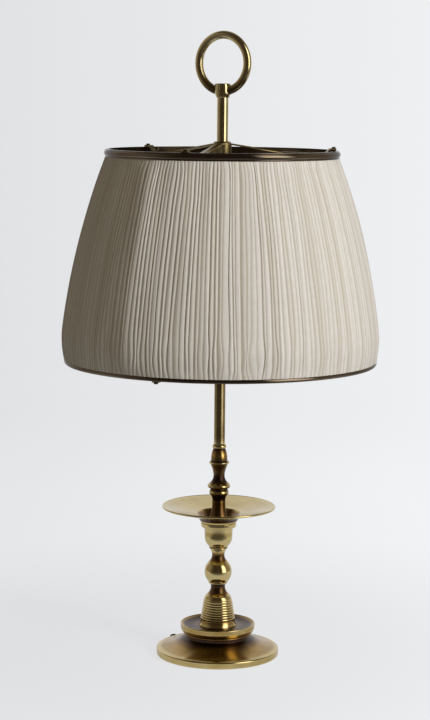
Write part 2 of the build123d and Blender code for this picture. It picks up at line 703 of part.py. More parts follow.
arm_start = cluster_radius - arm_socket
arm_top_z = cluster_z + arm_bend + arm_rise
cap_z = arm_top_z - holder_entry
shell_z = cap_z + holder_cap_height
bulb_z = shell_z + contact_height + bulb_lift
glass_z = bulb_z + bulb_cap_length
for side, mirror_x in (("right", 1), ("left", -1)):
    # Arm: a bent tube from the cluster body up to the lampholder.
    with BuildPart() as cluster_arm:
        with BuildLine(Plane.XZ):
            run = Line((mirror_x * arm_start, cluster_z), (mirror_x * (arm_spread - arm_bend), cluster_z))
            bend = RadiusArc(run @ 1, (mirror_x * arm_spread, cluster_z + arm_bend), -mirror_x * arm_bend)
            Line(bend @ 1, (mirror_x * arm_spread, arm_top_z))
        with BuildSketch(Plane.YZ.offset(mirror_x * arm_start)):
            with Locations((0, cluster_z)):
                Circle(arm_radius)
                Circle(arm_bore, mode=Mode.SUBTRACT)
        sweep()
    save(cluster_arm, f"cluster_arm_{side}")

    post = Axis((mirror_x * arm_spread, 0, 0), (0, 0, 1))
    middle = mirror_x * arm_spread

    # Lampholder cap: a cup with a round bottom that the arm enters.
    with BuildPart() as lampholder_cap:
        with BuildSketch(Plane.XY.offset(cap_z)):
            with Locations((middle, 0)):
                Circle(holder_cap_radius)
        extrude(amount=holder_cap_height)
        fillet(lampholder_cap.edges().sort_by(Axis.Z)[0], radius=holder_cap_round)
        with BuildSketch(Plane.XY.offset(cap_z + holder_cap_floor)):
            with Locations((middle, 0)):
                Circle(holder_cap_radius - holder_cap_wall)
        extrude(amount=holder_cap_height, mode=Mode.SUBTRACT)
        with BuildSketch(Plane.XY.offset(cap_z)):
            with Locations((middle, 0)):
                Circle(arm_radius + cluster_gap)
        extrude(amount=holder_entry, mode=Mode.SUBTRACT)
        with BuildSketch(Plane.XY.offset(cap_z)):
            with Locations((middle, 0)):
                Circle(arm_bore)
        extrude(amount=holder_cap_height, mode=Mode.SUBTRACT)
    save(lampholder_cap, f"lampholder_cap_{side}")

    # Lampholder shell: the insulating barrel with the bulb's bore.
    with BuildPart() as lampholder_shell:
        with BuildSketch(Plane.XY.offset(shell_z)):
            with Locations((middle, 0)):
                Circle(shell_radius)
                Circle(shell_bore, mode=Mode.SUBTRACT)
        extrude(amount=shell_height)
    save(lampholder_shell, f"lampholder_shell_{side}")

    # Contact: the disc with the centre contact at the bottom of the bore.
    with BuildPart() as lampholder_contact:
        with BuildSketch(Plane.XY.offset(shell_z)):
            with Locations((middle, 0)):
                Circle(shell_bore - cluster_gap)
        extrude(amount=contact_height)
    save(lampholder_contact, f"lampholder_contact_{side}")

    # Bulb cap: a screw shell with a closed bottom.
    with BuildPart() as bulb_cap:
        with BuildSketch(Plane.XY.offset(bulb_z)):
            with Locations((middle, 0)):
                Circle(bulb_cap_radius)
        extrude(amount=bulb_cap_length)
        with BuildSketch(Plane.XY.offset(bulb_z + bulb_cap_floor)):
            with Locations((middle, 0)):
                Circle(bulb_cap_radius - bulb_cap_wall)
        extrude(amount=bulb_cap_length, mode=Mode.SUBTRACT)
    save(bulb_cap, f"bulb_cap_{side}")

    # Bulb glass: a candle-shaped envelope, open at the neck inside the cap.
    with BuildPart() as bulb_glass:
        for inset, mode in ((0, Mode.ADD), (glass_wall, Mode.SUBTRACT)):
            with BuildSketch(Plane(origin=(middle, 0, glass_z), x_dir=(1, 0, 0), z_dir=(0, -1, 0))):
                with BuildLine():
                    neck = Polyline((0, -glass_seat), (glass_neck_radius - inset, -glass_seat),
                                    (glass_neck_radius - inset, 0))
                    pear = swell(neck @ 1, (glass_radius - inset, glass_belly_height), glass_lower_swell)
                    tip = (glass_tip_radius - inset, glass_length - glass_tip_height - inset)
                    flame = swell(pear @ 1, tip, glass_upper_swell)
                    Polyline(flame @ 1, (0, glass_length - inset), (0, -glass_seat))
                make_face()
            revolve(axis=post, mode=mode)
    save(bulb_glass, f"bulb_glass_{side}")

# ================================================================ height collar and clamp screw
clamp_z = collar_z + collar_height / 2
with BuildPart() as clamp_collar:
    with BuildSketch(Plane.XY.offset(collar_z)):
        Circle(collar_radius)
    extrude(amount=collar_height)
    chamfer(clamp_collar.edges().filter_by(GeomType.CIRCLE), length=collar_chamfer)
    with BuildSketch(Plane.XY.offset(collar_z + collar_height)):
        Circle(spigot_radius)
    extrude(amount=spigot_height)
    with BuildSketch(Plane.XY.offset(collar_z)):
        Circle(stem_radius + slide_gap)
    extrude(amount=collar_height + spigot_height, mode=Mode.SUBTRACT)
    with BuildSketch(outward_plane(clamp_azimuth, stem_radius, clamp_z)):
        Circle(clamp_shank_radius + clamp_gap)
    extrude(amount=collar_radius, mode=Mode.SUBTRACT)
save(clamp_collar, "clamp_collar")

# Clamp screw with a fluted round head.
clamp_head_at = collar_radius + clamp_reach
with BuildPart() as clamp_screw:
    with BuildSketch(outward_plane(clamp_azimuth, stem_radius + clamp_tip_gap, clamp_z)):
        Circle(clamp_shank_radius)
    extrude(amount=clamp_head_at - stem_radius - clamp_tip_gap)
    with BuildSketch(outward_plane(clamp_azimuth, clamp_head_at, clamp_z)):
        Circle(clamp_head_radius)
        with PolarLocations(clamp_head_radius, clamp_flutes):
            Circle(clamp_flute_radius, mode=Mode.SUBTRACT)
    extrude(amount=clamp_head_width)
save(clamp_screw, "clamp_screw")

# ================================================================ shade
def strap_path(azimuth):
    """Centre line of one strap arm: from the hub, down to a knee, out to the rim and over its top."""
    low_z = hub_top_z - strap_low_drop
    over_z = rim_z + rim_top_height + strap_thickness / 2
    inside = rim_inner - strap_thickness / 2 - strap_rim_gap
    with BuildLine(radial_plane(azimuth)) as path:
        FilletPolyline(
            (hub_radius - strap_root, hub_top_z - strap_drop),
            (strap_knee_radius, hub_top_z - strap_knee_drop),
            (inside - strap_lean, low_z),
            (inside, over_z),
            (cloth_top_radius, over_z),
            radius=strap_bend,
        )
    return path.line


# Spider: hub that turns on the collar's spigot, with three strap arms brazed to it.
with BuildPart() as shade_spider:
    with BuildSketch(Plane.XY.offset(hub_z)):
        Circle(hub_radius)
    extrude(amount=hub_height)
    fillet(shade_spider.edges().group_by(Axis.Z)[-1], radius=hub_round)
    for azimuth in arm_azimuths:
        strap = strap_path(azimuth)
        with BuildSketch(Plane(origin=strap @ 0, x_dir=radial_plane(azimuth).z_dir, z_dir=strap % 0)):
            Rectangle(strap_width, strap_thickness)
        sweep(path=strap)
    with BuildSketch(Plane.XY.offset(hub_z)):
        Circle(spigot_radius + hub_gap)
    extrude(amount=spigot_height + hub_seat_gap + spigot_top_gap, mode=Mode.SUBTRACT)
    with BuildSketch(Plane.XY.offset(hub_z)):
        Circle(stem_radius + stem_clear)
    extrude(amount=hub_height, mode=Mode.SUBTRACT)
    with BuildSketch(Plane.XY.offset(rim_z + rim_top_height)):
        with Locations(*on_circle(arm_screw_radius, arm_azimuths)):
            Circle(screw_shank_radius + screw_gap)
    extrude(amount=strap_thickness + overrun, mode=Mode.SUBTRACT)
save(shade_spider, "shade_spider")


strut_azimuths = [azimuth + strut_offset for azimuth in arm_azimuths]

# Three screws that hold the arms on the top rim.
arm_screw_z = rim_z + rim_top_height + strap_thickness
with BuildPart() as arm_screws:
    with BuildSketch(Plane.XY.offset(arm_screw_z)):
        with Locations(*on_circle(arm_screw_radius, arm_azimuths)):
            Circle(screw_head_radius)
    extrude(amount=screw_head_height)
    fillet(arm_screws.edges().group_by(Axis.Z)[-1], radius=screw_head_round)
    with BuildSketch(Plane.XY.offset(arm_screw_z - screw_length)):
        with Locations(*on_circle(arm_screw_radius, arm_azimuths)):
            Circle(screw_shank_radius)
    extrude(amount=screw_length)
save(arm_screws, "arm_screws")

# Top rim: a half-round moulding that covers the upper edge of the cloth.
with BuildPart() as top_rim:
    with BuildSketch(Plane.XZ):
        with BuildLine():
            rim_top_edge = rim_top_radius - rim_bulge
            outer = bead((rim_top_edge, rim_z), (rim_top_edge, rim_z + rim_top_height), rim_top_radius)
            Polyline(outer @ 1, (rim_inner, rim_z + rim_top_height), (rim_inner, rim_z), outer @ 0)
        make_face()
    revolve(axis=Axis.Z)
    with BuildSketch(Plane.XY.offset(arm_screw_z - screw_length - screw_end_gap)):
        with Locations(*on_circle(arm_screw_radius, arm_azimuths)):
            Circle(screw_shank_radius + screw_gap)
    extrude(amount=screw_length, mode=Mode.SUBTRACT)
save(top_rim, "top_rim")

# Bottom rim: a lighter moulding under the lower edge of the cloth.
strut_screw_z = rim_end_z - strut_tab_thickness
with BuildPart() as bottom_rim:
    with BuildSketch(Plane.XZ):
        with BuildLine():
            rim_end_edge = rim_end_radius - rim_end_bulge
            outer = bead((rim_end_edge, rim_end_z), (rim_end_edge, cloth_end_z), rim_end_radius)
            Polyline(outer @ 1, (rim_end_inner, cloth_end_z), (rim_end_inner, rim_end_z), outer @ 0)
        make_face()
    revolve(axis=Axis.Z)
    with BuildSketch(Plane.XY.offset(rim_end_z)):
        with Locations(*on_circle(strut_screw_radius, strut_azimuths)):
            Circle(screw_shank_radius + screw_gap)
    extrude(amount=strut_screw_hole, mode=Mode.SUBTRACT)
save(bottom_rim, "bottom_rim")


def side_arcs(inset):
    """The shade's side as two arcs in (radius, height), moved inwards by the inset."""
    upper_side = ThreePointArc(
        (cloth_top_radius - inset, rim_z),
        (cloth_mid_radius - inset, rim_z - cloth_mid_drop),
        (cloth_low_radius - inset, rim_z - cloth_low_drop),
    )
    lower_side = ThreePointArc(
        upper_side @ 1,
        (cloth_wide_radius - inset, rim_z - cloth_wide_drop),
        (cloth_end_radius - inset, cloth_end_z),
    )
    return upper_side, lower_side


# Struts: wires down the inside of the lining, each ending in a tab under the bottom rim.
strut_names = ("right", "back", "front")
strut_tab_start = rim_end_inner - 2 * strut_wire
strut_tab_z = rim_end_z - strut_tab_thickness / 2
for strut_name, azimuth in zip(strut_names, strut_azimuths):
    with BuildPart() as shade_strut:
        with BuildLine(radial_plane(azimuth)) as strut_line:
            Line((cloth_top_radius - strut_inset, rim_z + rim_top_height - strut_top_drop),
                 (cloth_top_radius - strut_inset, rim_z))
            side_arcs(strut_inset)
            Line((cloth_end_radius - strut_inset, cloth_end_z),
                 (cloth_end_radius - strut_inset, strut_screw_z))
            fillet(strut_line.vertices().sort_by(Axis.Z)[1:-1], radius=strut_bend)
        strut_path = strut_line.wires()[0]
        with BuildSketch(Plane(origin=strut_path @ 0, z_dir=strut_path % 0)):
            Circle(strut_wire)
        sweep(path=strut_path)
        with BuildSketch(outward_plane(azimuth, strut_tab_start, strut_tab_z)):
            Rectangle(strut_tab_width, strut_tab_thickness)
        extrude(amount=strut_tab_length)
        with BuildSketch(Plane.XY.offset(strut_screw_z)):
            with Locations(*on_circle(strut_screw_radius, [azimuth])):
                Circle(screw_shank_radius + screw_gap)
        extrude(amount=strut_tab_thickness, mode=Mode.SUBTRACT)
    save(shade_strut, f"shade_strut_{strut_name}")

# Three screws up through the tabs into the bottom rim.
with BuildPart() as strut_screws:
    with BuildSketch(Plane.XY.offset(strut_screw_z - screw_head_height)):
        with Locations(*on_circle(strut_screw_radius, strut_azimuths)):
            Circle(screw_head_radius)
    extrude(amount=screw_head_height)
    with BuildSketch(Plane.XY.offset(strut_screw_z)):
        with Locations(*on_circle(strut_screw_radius, strut_azimuths)):
            Circle(screw_shank_radius)
    extrude(amount=strut_tab_thickness + strut_screw_grip)
save(strut_screws, "strut_screws")

# Lining: the smooth cloth inside the pleats.
with BuildPart() as lining:
    with BuildSketch(Plane.XZ):
        with BuildLine():
            outer_upper, outer_lower = side_arcs(lining_inset)
            inner_upper, inner_lower = side_arcs(lining_inset + lining_wall)
            Line(outer_upper @ 0, inner_upper @ 0)
            Line(outer_lower @ 1, inner_lower @ 1)
        make_face()
    revolve(axis=Axis.Z)
save(lining, "lining")


def pleat_ring(radius):
    """Zigzag of folds round the axis: every second point is a crest, the rest are valleys."""
    step = pi / pleat_count
    return [
        ((radius - pleat_depth * (i % 2)) * cos(i * step), (radius - pleat_depth * (i % 2)) * sin(i * step))
        for i in range(2 * pleat_count)
    ]


# Pleated cover: folds from rim to rim, smooth on the side towards the lining.
upper_side, lower_side = side_arcs(0)
levels = [upper_side @ (band / upper_bands) for band in range(upper_bands + 1)]
levels += [lower_side @ (band / lower_bands) for band in range(1, lower_bands + 1)]
with BuildPart() as pleated_cover:
    for level in levels:
        with BuildSketch(Plane.XY.offset(level.Y)):
            with BuildLine():
                Polyline(*pleat_ring(level.X), close=True)
            make_face()
    loft(ruled=True)
    for level in levels:
        with BuildSketch(Plane.XY.offset(level.Y)):
            RegularPolygon(level.X - pleat_depth - pleat_base, pleat_count)
    loft(ruled=True, mode=Mode.SUBTRACT)
save(pleated_cover, "pleated_cover")

print(f"height {ring_z + ring_radius + ring_wire:.1f} mm, widest radius {cloth_wide_radius:.1f} mm")
print(f"pleats every {2 * pi * cloth_wide_radius / pleat_count:.2f} mm at the widest place")
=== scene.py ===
# %% [markdown]
# # A candlestick lamp with a pleated shade
# The lamp is turned brass: a weighted foot, a ribbed shaft, a cup, a wide drip pan, a stem and a ring
# to carry it by. The shade slides on the stem. The sizes come from the solid model, which is loaded
# first and stays where it is. What is built here is the look of each piece: smooth turned surfaces,
# folded cloth and the finishes, then the light and the camera.

# %% Load the solid model
import json

import bmesh
import bpy
import numpy as np
from mathutils import Matrix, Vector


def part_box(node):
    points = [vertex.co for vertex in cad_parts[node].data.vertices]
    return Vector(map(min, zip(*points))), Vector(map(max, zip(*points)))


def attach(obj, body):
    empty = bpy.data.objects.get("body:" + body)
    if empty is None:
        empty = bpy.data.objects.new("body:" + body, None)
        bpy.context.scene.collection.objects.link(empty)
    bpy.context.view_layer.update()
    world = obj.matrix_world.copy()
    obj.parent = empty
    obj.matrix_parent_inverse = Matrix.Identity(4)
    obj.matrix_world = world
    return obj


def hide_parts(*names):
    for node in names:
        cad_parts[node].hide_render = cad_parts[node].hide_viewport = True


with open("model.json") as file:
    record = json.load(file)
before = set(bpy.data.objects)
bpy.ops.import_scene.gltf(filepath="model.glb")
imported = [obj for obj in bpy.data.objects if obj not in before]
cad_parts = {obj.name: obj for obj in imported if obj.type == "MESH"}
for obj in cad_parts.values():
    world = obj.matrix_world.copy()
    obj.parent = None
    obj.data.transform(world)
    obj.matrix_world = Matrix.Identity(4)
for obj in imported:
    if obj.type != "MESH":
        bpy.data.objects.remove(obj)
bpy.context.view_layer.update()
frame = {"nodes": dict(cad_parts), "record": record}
record = frame["record"]
MM = 0.001

body_of_node = {node: body for body, nodes in record["behaviour"]["bodies"].items() for node in nodes}


# %% [markdown]
# ## Colours and shader nodes
# A colour is written as the sRGB hex value that a screen shows, and a shader works in linear light, so
# one function turns the one into the other. Another adds any shader node with its settings and links,
# which keeps each finish short enough to read.


# %% Helpers for materials
def linear(hex_colour):
    """sRGB hex to linear RGBA: below 0.04045 divide by 12.92, above it ((c + 0.055) / 1.055) ** 2.4."""
    shown = np.array([int(hex_colour[i : i + 2], 16) for i in (1, 3, 5)]) / 255
    light = np.where(shown <= 0.04045, shown / 12.92, ((shown + 0.055) / 1.055) ** 2.4)
    return (*light, 1.0)


def add(tree, kind, *values, stops=(), **named):
    """One shader node. Values go to its inputs in their order, and capitalised names to the inputs so
    called. A node given as a value stands for its first output. Names in small letters are the node's
    own settings, and stops are the (place, hex colour) pairs of a colour ramp."""
    made = tree.nodes.new("ShaderNode" + kind)
    for name in filter(str.islower, named):
        setattr(made, name, named[name])
    inputs = {name.replace("_", " "): value for name, value in named.items() if not name.islower()}
    for key, value in [*enumerate(values), *inputs.items()]:
        if isinstance(value, bpy.types.Node):
            value = next(socket for socket in value.outputs if socket.enabled)
        if isinstance(value, bpy.types.NodeSocket):
            tree.links.new(value, made.inputs[key])
        else:
            made.inputs[key].default_value = value
    while stops and len(made.color_ramp.elements) < len(stops):
        made.color_ramp.elements.new(1.0)
    for k, (place, colour) in enumerate(stops):
        made.color_ramp.elements[k].position = place
        made.color_ramp.elements[k].color = linear(colour)
    return made


def new_material(name):
    """A material without any nodes, and its tree."""
    material = bpy.data.materials.new(name)
    material.use_nodes = True
    material.node_tree.nodes.clear()
    return material, material.node_tree


# %% [markdown]
# ## Aged brass
# Brass is copper with about a third of zinc. Turned and polished it mirrors the room in yellow, and
# with years it browns first in the hollows that a polishing cloth doesn't reach, while the edges stay
# bright. Each turned piece carries a value on its points: tarnish, low on crests and high in hollows, and
# on the lower stem and the foot's inner dome also painted shade.
# By it and by clouds of old lacquer, the shader goes through four tones from clean to brown, and it adds
# the faint rings that the turning tool left. Bronze is drawn in the same way, in darker tones.


# %% Brass
RING_PITCH = 0.9 * MM  # the tool's rings are finer, and are drawn this wide so that they show
RING_DEPTH = 0.05 * MM
CLOUD_SIZE = 22 * MM
FLECK_SIZE = 2.2 * MM
TONE_PLACES = (0.0, 0.35, 0.65, 1.0)
# Four tones of each metal as it would mirror a white sheet, from clean to brown.
POLISHED = ("#D2BE86", "#A98A4E", "#755A36", "#46342A")
PALE = ("#D9CCA0", "#B3A272", "#6F6042", "#40362E")
BRONZE = ("#6E6150", "#4E443A", "#383029", "#28221D")


def brass(name, rough, age=0.0, turned_rings=0.10, tones=POLISHED, lacquer=0.0, edge_tint=1.0):
    """Brass or bronze, which goes from clean to brown and grows duller with age, tarnish, painted shade
    and cloud. Turned brass has fine rings. Lacquer adds a clear coat, whose reflections have no tint, and
    a low edge tint dims what the metal mirrors at a grazing angle."""
    material, tree = new_material(name)
    place = add(tree, "TexCoord").outputs["Object"]
    # The value read here is tarnish, and on some pieces painted shade as well.
    tarnish_and_painted_shade = add(tree, "Attribute", attribute_name="tarnish_and_painted_shade").outputs["Fac"]
    cloud = add(tree, "TexNoise", Vector=place, Scale=1 / CLOUD_SIZE, Detail=4.0, Roughness=0.6)
    fleck = add(tree, "TexNoise", Vector=place, Scale=1 / FLECK_SIZE, Detail=3.0, Roughness=0.7)
    clouds = add(tree, "MapRange", cloud, To_Min=age - 0.20, To_Max=age + 0.28)
    flecks = add(tree, "MapRange", fleck, To_Min=-0.05, To_Max=0.05)
    mixed = add(tree, "Math", clouds, flecks, operation="ADD")
    aged = add(tree, "Math", tarnish_and_painted_shade, mixed, operation="ADD", use_clamp=True)
    shader = add(
        tree,
        "BsdfPrincipled",
        Base_Color=add(tree, "ValToRGB", aged, stops=list(zip(TONE_PLACES, tones))),
        Metallic=1.0,
        Roughness=add(tree, "MapRange", aged, To_Min=rough, To_Max=rough + 0.20),
        Specular_Tint=(edge_tint, edge_tint, edge_tint, 1.0),
        Coat_Weight=lacquer,
        Coat_Roughness=0.12,
    )
    if turned_rings:
        level = add(tree, "SeparateXYZ", place).outputs["Z"]
        flat = add(tree, "VectorMath", place, (1, 1, 0), operation="MULTIPLY")
        radius = add(tree, "VectorMath", flat, operation="LENGTH")
        rings_at = add(tree, "CombineXYZ", X=radius, Z=level)
        rings = add(tree, "TexNoise", Vector=rings_at, Scale=1 / RING_PITCH, Detail=2.0)
        bump = add(tree, "Bump", Height=rings, Strength=turned_rings, Distance=RING_DEPTH)
        tree.links.new(bump.outputs["Normal"], shader.inputs["Normal"])
    add(tree, "OutputMaterial", Surface=shader)
    return material


turned_brass = brass("turned_polished_brass", 0.13)
stem_brass = brass("turned_brown_brass", 0.17, age=0.48)
drawn_brass = brass("drawn_brass_tube", 0.14, age=0.06, turned_rings=0, tones=PALE)
strap_brass = brass("brown_strap_brass", 0.20, age=0.50, turned_rings=0, tones=PALE)
# The rims' lacquer has dulled, so their edges mirror less than a clean metal's would.
rim_bronze = brass(
    "lacquered_bronze_moulding", 0.11, age=0.45, turned_rings=0, tones=BRONZE, lacquer=0.5, edge_tint=0.25
)


# %% [markdown]
# ## A profile that a turner would cut
# Everything from the foot to the stem was turned on a lathe, so its shape is one outline spun about the
# axis. An outline here is a start and a list of cuts. A cut goes straight to a (radius, height), or has
# a third number, how far it swells outwards from its chord, where a minus is a hollow. Real corners are
# never perfectly sharp, so each one gets a small round, which is what catches the light.


# %% Profiles
def cut(start, end, swell=0.0, step=1.0):
    """One cut as points. A straight cut is start + t * (end - start). A round one is a circle's arc of
    radius (c * c / 4 + s * s) / (2 * s) for a chord c and a swell s, drawn by its angle. Points crowd
    towards both ends, where the corners are."""
    start, end = np.array(start, float), np.array(end, float)
    chord = end - start
    length = np.linalg.norm(chord)
    count = int(np.clip(length / step, 6, 60))
    share = 0.5 - 0.5 * np.cos(np.pi * np.arange(count + 1) / count)
    if swell == 0:
        return start + share[:, None] * chord
    along = chord / length
    outward = np.array([along[1], -along[0]])
    radius = (length**2 / 4 + swell**2) / (2 * swell)
    angle = 2 * np.arctan(2 * swell / length) * (2 * share - 1)
    middle = (start + end) / 2 + outward * (swell - radius)
    return middle + radius * (np.sin(angle)[:, None] * along + np.cos(angle)[:, None] * outward)


def trimmed(points, from_start, from_end):
    """The same line without its first and last stretch of the given lengths."""
    run = np.concatenate([[0], np.cumsum(np.linalg.norm(np.diff(points, axis=0), axis=1))])
    ends = [from_start, run[-1] - from_end]
    inner = points[(run > ends[0] + 1e-4) & (run < ends[1] - 1e-4)]
    first, last = (np.array([np.interp(at, run, points[:, k]) for k in (0, 1)]) for at in ends)
    return np.vstack([first, inner, last])


def outline(start, *cuts, corner=0.25, closed=True):
    """The cuts joined into one outline in millimetres. Each corner is a quadratic curve that leaves one
    cut and meets the next `corner` away from where they would cross."""
    lines, at = [], start
    for move in cuts:
        lines.append(cut(at, move[:2], *move[2:]))
        at = move[:2]
    if closed:
        lines.append(cut(at, start))
    lengths = [np.linalg.norm(np.diff(line, axis=0), axis=1).sum() for line in lines]
    joints = range(len(lines)) if closed else range(len(lines) - 1)
    room = {k: min(corner, 0.35 * lengths[k], 0.35 * lengths[(k + 1) % len(lines)]) for k in joints}
    points = []
    for k, line in enumerate(lines):
        shown = trimmed(line, room.get((k - 1) % len(lines), 0), room.get(k, 0))
        points.append(shown)
        if k in room:
            after = lines[(k + 1) % len(lines)]
            landing = trimmed(after, room[k], 0)[0]
            t = np.linspace(0, 1, 6)[1:-1, None]
            points.append((1 - t) ** 2 * shown[-1] + 2 * t * (1 - t) * line[-1] + t**2 * landing)
    return np.vstack(points)


def hollowness(points, reach, full):
    """Below 0 on crests and up to 1 in hollows: how far a point lies inside the outline's own average
    over a reach, along its outward normal and divided by the depth that counts as full."""
    steps = np.linalg.norm(np.roll(points, -1, 0) - points, axis=1)
    run = np.concatenate([[0], np.cumsum(steps)])
    spacing = 0.2  # millimetres between the points that the average is taken over
    even = np.linspace(0, run[-1], max(int(run[-1] / spacing), 40), endpoint=False)
    loop = np.vstack([points, points[:1]])
    line = np.stack([np.interp(even, run, loop[:, k]) for k in (0, 1)], 1)
    window = max(int(reach / spacing), 1)
    kernel = np.ones(2 * window + 1) / (2 * window + 1)
    around = np.vstack([line[-window:], line, line[:window]])
    mean = np.stack([np.convolve(around[:, k], kernel, "valid") for k in (0, 1)], 1)
    ahead = np.roll(line, -1, 0) - np.roll(line, 1, 0)
    ahead = ahead / np.maximum(np.linalg.norm(ahead, axis=1), 1e-9)[:, None]
    normal = np.stack([ahead[:, 1], -ahead[:, 0]], 1)
    hollow = ((mean - line) * normal).sum(1)
    return np.interp(run[:-1], even, np.clip(hollow / full, -0.5, 1.0))


def tarnish_of(points):
    """Tarnish from the fine grooves, within 1.6 mm, and from the wide necks and coves, within 8 mm."""
    grooves = hollowness(points, reach=1.6, full=0.3)
    necks = hollowness(points, reach=8.0, full=1.4)
    return 0.35 * grooves + 0.75 * necks


# %% [markdown]
# ## From arrays to a piece
# Every new piece is a grid of points whose columns go round an axis or a bar. Its mesh is filled from
# whole arrays, points in one call and faces in another. `finished` then gives the piece its material
# and the body that it moves with, and hides the solid that it stands for.


# %% Pieces
def grid_faces(rows, columns, wrap_rows=False):
    """Quads of a grid whose columns go round: (i, j), (i, j + 1), (i + 1, j + 1), (i + 1, j)."""
    i, j = np.meshgrid(np.arange(rows if wrap_rows else rows - 1), np.arange(columns), indexing="ij")
    below, right = (i + 1) % rows, (j + 1) % columns
    corners = [i * columns + j, i * columns + right, below * columns + right, below * columns + j]
    return np.stack(corners, -1).reshape(-1, 4)


def mesh_from(name, points, quads):
    """A smooth-shaded mesh from an array of points in metres and one of quads."""
    mesh = bpy.data.meshes.new(name)
    mesh.vertices.add(len(points))
    mesh.vertices.foreach_set("co", np.asarray(points, np.float32).ravel())
    mesh.loops.add(quads.size)
    mesh.loops.foreach_set("vertex_index", quads.astype(np.int32).ravel())
    mesh.polygons.add(len(quads))
    mesh.polygons.foreach_set("loop_start", np.arange(0, quads.size, 4, dtype=np.int32))
    mesh.polygons.foreach_set("use_smooth", np.ones(len(quads), bool))
    mesh.update(calc_edges=True)
    mesh.validate()
    return mesh


def surface(name, grid, wrap_rows=False):
    """A grid of points as a mesh. Its columns go round, and its rows do so too where they wrap."""
    return mesh_from(name, grid.reshape(-1, 3), grid_faces(*grid.shape[:2], wrap_rows))


def give_value(mesh, name, values):
    """One number for each point of the mesh, for a shader to read."""
    mesh.attributes.new(name, "FLOAT", "POINT").data.foreach_set("value", np.asarray(values, np.float32))


def finished(mesh, name, material, *nodes):
    """The mesh as a piece that stands for the nodes, rides on their body and has the material."""
    piece = bpy.data.objects.new(name, mesh)
    bpy.context.scene.collection.objects.link(piece)
    mesh.materials.clear()
    mesh.materials.append(material)
    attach(piece, body_of_node[nodes[0]])
    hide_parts(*nodes)
    print(f"{name}: {len(mesh.polygons)} faces")
    return piece


def spun(points, segments):
    """An outline spun about the lamp's axis, in metres: (r cos a, r sin a, z)."""
    angle = np.linspace(0, 2 * np.pi, segments, endpoint=False)
    radius, height = points[:, :1] * MM, points[:, 1:] * MM
    return np.stack([radius * np.cos(angle), radius * np.sin(angle), height + 0 * angle], -1)


def turned(name, node, material, points, segments=160, browner=0.0):
    """A piece spun from a closed outline. What is browner than its shape alone would make it gets that
    added, as one value or one for each point."""
    mesh = surface(name, spun(points, segments), wrap_rows=True)
    give_value(mesh, "tarnish_and_painted_shade", np.repeat(tarnish_of(points) + browner, segments))
    return finished(mesh, name, material, node)


def low_of(node):
    """Height of a node's underside, in millimetres."""
    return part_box(node)[0].z / MM


def high_of(node):
    """Height of a node's top, in millimetres."""
    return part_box(node)[1].z / MM


def rim_of(node):
    """Largest radius of a node about the lamp's axis, in millimetres."""
    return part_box(node)[1].x / MM


# %% [markdown]
# ## Foot
# One casting: an upright edge band, a dome that hangs a little under a straight line, a waist with a
# bead in the shadow of the tray, and the tray with its rolled lip. The dome's hollow is turned out too,
# and the felt closes it.

# %% Foot
bore = 5.2
base = low_of("foot")
base_radius = rim_of("foot")
edge_height = 8.2
waist_radius, waist_height = 38.5, 21.5
lip_radius, lip_low, lip_high = 43.9, 28.2, 37.6
tray_floor, tray_plate = 34.3, 4.0
cavity_radius, ledge_radius, ledge_depth = 66.5, 58.0, 5.0

foot_outline = outline(
    (cavity_radius, base),
    (base_radius - 0.7, base),
    (base_radius - 0.1, base + 0.7),
    (base_radius, base + edge_height - 2.2),
    (base_radius - 1.9, base + edge_height, 0.75),
    (base_radius - 3.4, base + edge_height + 0.45),
    (base_radius - 4.2, base + edge_height + 0.35, -0.2),
    (waist_radius, base + waist_height, -2.1),
    (waist_radius, base + waist_height + 3.3),
    (waist_radius + 0.6, base + lip_low - 0.7, 1.7),
    (lip_radius - 1.7, base + lip_low),
    (lip_radius - 0.1, base + lip_low + 4.4, 0.25),
    (lip_radius, base + lip_high - 0.8),
    (lip_radius - 1.6, base + lip_high - 0.7, 0.75),
    (30.0, base + tray_floor, -0.5),
    (bore, base + tray_floor),
    (bore, base + tray_floor - tray_plate),
    (waist_radius - 4.0, base + tray_floor - tray_plate),
    (waist_radius - 4.0, base + waist_height - 2.0),
    (ledge_radius, base + ledge_depth, 2.0),
    (cavity_radius, base + ledge_depth),
)
# The dome's outer part is kept clean. The edge band and the tray's lip are browner. Inwards the dome
# is browned as a painted dark reflection, and the waist and the floor of the tray, which a cloth hardly
# reaches, are the brownest.
foot_radius, foot_level = foot_outline.T
on_lip = (foot_radius > lip_radius - 2.4) & (foot_level > base + lip_low)
on_edge = (foot_radius > base_radius - 2.5) & (foot_level < base + edge_height)
painted_reflection_and_tarnish_inwards = np.clip((52 - foot_radius) / 12, 0, 1)
foot_browner = np.select([on_lip, on_edge], [0.60, 0.45], 0.18 + 0.60 * painted_reflection_and_tarnish_inwards)
turned("foot_casting", "foot", turned_brass, foot_outline, 256, foot_browner)

# %% [markdown]
# ## Shaft
# A flared foot stands in the tray, and eight ribs climb the cone above it. They were cut one beside the
# other with a round-nosed tool, so each is a shallow swell with a sharp line between. A shoulder, a
# neck, a ball and a second neck follow.

# %% Ribbed shaft
tray = low_of("ribbed_shaft")
rib_low, rib_count, rib_rise = 8.0, 8, 23.6
rib_radii = np.linspace(20.0, 16.2, rib_count + 1)
rib_heights = tray + rib_low + np.linspace(0, rib_rise, rib_count + 1)
shaft_top = high_of("ribbed_shaft")
ball_low, ball_high = shaft_top - 40.2, shaft_top - 15.4

